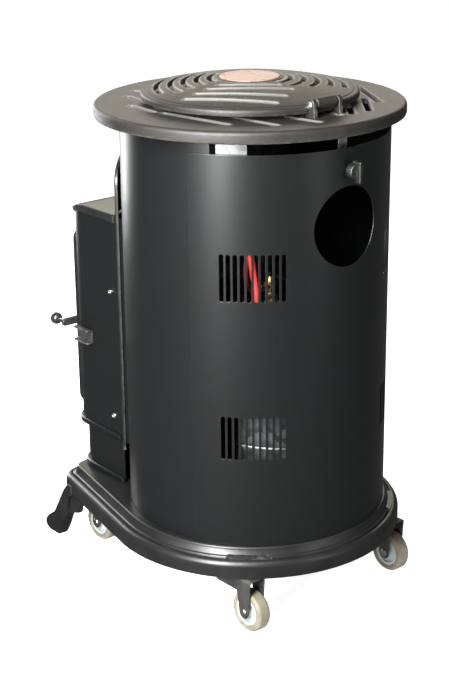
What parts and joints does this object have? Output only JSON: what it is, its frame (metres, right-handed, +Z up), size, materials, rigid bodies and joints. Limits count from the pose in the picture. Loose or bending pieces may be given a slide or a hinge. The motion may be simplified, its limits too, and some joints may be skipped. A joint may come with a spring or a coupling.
{
  "type": "kerosene heater",
  "caption": "Round free-standing kerosene heater with slotted cast top, glazed stove front and removable rear cover, on casters",
  "frame": {"origin": "on the floor, under the centre of the whole object's bounding box", "axes": "+Z up; the stove door faces -Y, the rear cover and its port face +Y, the door latch is on the +X side"},
  "size_m": [0.4378, 0.5468, 0.7454],
  "materials": {
    "black_steel": "satin fine-grained powder coat",
    "black_enamel": "semi-gloss black enamel",
    "cast_top": "heat-proof grey-brown matt paint on sand-cast iron",
    "black_fittings": "semi-matt black paint on pressed steel",
    "bright_steel": "zinc-plated",
    "galvanised_steel": "galvanised sheet",
    "knob_metal": "cast, matt",
    "copper_disc": "copper-pink, lightly textured",
    "wheel_tyre": "beige-grey, matt",
    "wheel_hub": "grey moulded",
    "ball_knob": "black phenolic",
    "hose_rubber": "red, smooth",
    "brass_valve": "machined",
    "wick_fibre": "woven glass fibre",
    "stove_glass": "clear heat-resistant"
  },
  "bodies": {
    "heater_body": {"base_plinth": "black_enamel", "front_leg_left": "black_enamel", "front_leg_right": "black_enamel", "rear_caster_bracket_left": "black_fittings", "rear_caster_bracket_right": "black_fittings", "rear_axle_pin_left": "bright_steel", "rear_axle_pin_right": "bright_steel", "front_caster_plate_left": "black_fittings", "front_caster_plate_right": "black_fittings", "casing_shell": "black_steel", "cover_catch": "bright_steel", "upper_liner": "galvanised_steel", "top_plate": "cast_top", "lid_hinge_pin": "bright_steel", "bay_surround": "black_enamel", "bay_housing": "black_steel", "bay_hood": "black_enamel", "lower_housing": "black_steel", "bay_screw_upper_left": "bright_steel", "bay_screw_lower_left": "bright_steel", "bay_screw_upper_right": "bright_steel", "bay_screw_lower_right": "bright_steel", "door_hinge_lower": "black_fittings", "door_hinge_upper": "black_fittings", "latch_keeper": "black_fittings", "heat_shield": "galvanised_steel", "fuel_tank": "galvanised_steel", "tank_valve": "brass_valve", "fuel_hose": "hose_rubber", "burner_sump": "galvanised_steel", "wick_tube": "bright_steel", "flame_spreader": "bright_steel", "burner_chimney": "bright_steel", "reflector": "bright_steel"},
    "rear_cover": {"rear_cover": "black_steel"},
    "cover_knob": {"cover_knob": "knob_metal", "cover_knob_tongue": "bright_steel"},
    "lid": {"lid": "cast_top", "lid_disc": "copper_disc"},
    "door": {"door_frame": "black_enamel", "door_glass": "stove_glass", "glass_retainer": "bright_steel"},
    "door_latch": {"latch_spindle": "black_fittings", "latch_ball_knob": "ball_knob"},
    "wick_knob": {"wick_knob": "ball_knob"},
    "wick": {"wick": "wick_fibre"},
    "filler_cap": {"filler_cap": "ball_knob"},
    "valve_lever": {"valve_lever": "black_steel"},
    "rear_wheel_left": {"rear_wheel_tyre_left": "wheel_tyre", "rear_wheel_hub_left": "wheel_hub"},
    "front_caster_left": {"front_caster_fork_left": "black_fittings", "front_axle_pin_left": "bright_steel"},
    "front_wheel_left": {"front_wheel_tyre_left": "wheel_tyre", "front_wheel_hub_left": "wheel_hub"},
    "rear_wheel_right": {"rear_wheel_tyre_right": "wheel_tyre", "rear_wheel_hub_right": "wheel_hub"},
    "front_caster_right": {"front_caster_fork_right": "black_fittings", "front_axle_pin_right": "bright_steel"},
    "front_wheel_right": {"front_wheel_tyre_right": "wheel_tyre", "front_wheel_hub_right": "wheel_hub"}
  },
  "joints": [
    {"name": "lid_hinge", "type": "hinge", "parent": "heater_body", "child": "lid", "pos_m": [0, 0.20095, 0.729], "axis": [-1, 0, 0], "range_deg": [0, 100]},
    {"name": "door_hinge", "type": "hinge", "parent": "heater_body", "child": "door", "pos_m": [-0.1245, -0.23005, 0.36], "axis": [0, 0, -1], "range_deg": [0, 110]},
    {"name": "latch_turn", "type": "hinge", "parent": "door", "child": "door_latch", "pos_m": [0.096, -0.23005, 0.341], "axis": [0, -1, 0], "range_deg": [0, 90]},
    {"name": "rear_cover_tilt", "type": "hinge", "parent": "heater_body", "child": "rear_cover", "pos_m": [0, 0.25015, 0.122], "axis": [-1, 0, 0], "range_deg": [0, 30]},
    {"name": "cover_knob_turn", "type": "hinge", "parent": "rear_cover", "child": "cover_knob", "pos_m": [0, 0.24995, 0.646], "axis": [0, 1, 0], "range_deg": [0, 90]},
    {"name": "wick_knob_turn", "type": "hinge", "parent": "heater_body", "child": "wick_knob", "pos_m": [0, -0.22005, 0.15], "axis": [0, -1, 0], "range_deg": [0, 270]},
    {"name": "wick_lift", "type": "slide", "parent": "heater_body", "child": "wick", "axis": [0, 0, 1], "range_m": [0, 0.008]},
    {"name": "filler_cap_turn", "type": "hinge", "parent": "heater_body", "child": "filler_cap", "pos_m": [-0.052, 0.12595, 0.455], "axis": [0, 0, 1], "range_deg": [0, 90]},
    {"name": "valve_lever_turn", "type": "hinge", "parent": "heater_body", "child": "valve_lever", "pos_m": [0.022, 0.11795, 0.48], "axis": [0, 0, 1], "range_deg": [0, 90]},
    {"name": "rear_wheel_spin_left", "type": "hinge", "parent": "heater_body", "child": "rear_wheel_left", "pos_m": [-0.139, 0.20895, 0.03], "axis": [1, 0, 0], "continuous": true},
    {"name": "front_caster_swivel_left", "type": "hinge", "parent": "heater_body", "child": "front_caster_left", "pos_m": [-0.126, -0.13805, 0.08], "axis": [0, 0, 1], "continuous": true},
    {"name": "front_wheel_spin_left", "type": "hinge", "parent": "front_caster_left", "child": "front_wheel_left", "pos_m": [-0.126, -0.16205, 0.03], "axis": [1, 0, 0], "continuous": true},
    {"name": "rear_wheel_spin_right", "type": "hinge", "parent": "heater_body", "child": "rear_wheel_right", "pos_m": [0.139, 0.20895, 0.03], "axis": [1, 0, 0], "continuous": true},
    {"name": "front_caster_swivel_right", "type": "hinge", "parent": "heater_body", "child": "front_caster_right", "pos_m": [0.126, -0.13805, 0.08], "axis": [0, 0, 1], "continuous": true},
    {"name": "front_wheel_spin_right", "type": "hinge", "parent": "front_caster_right", "child": "front_wheel_right", "pos_m": [0.126, -0.16205, 0.03], "axis": [1, 0, 0], "continuous": true}
  ],
  "couplings": [
    {"joint": "wick_lift", "follows": "wick_knob_turn", "m_per_rad": 0.001697}
  ]
}
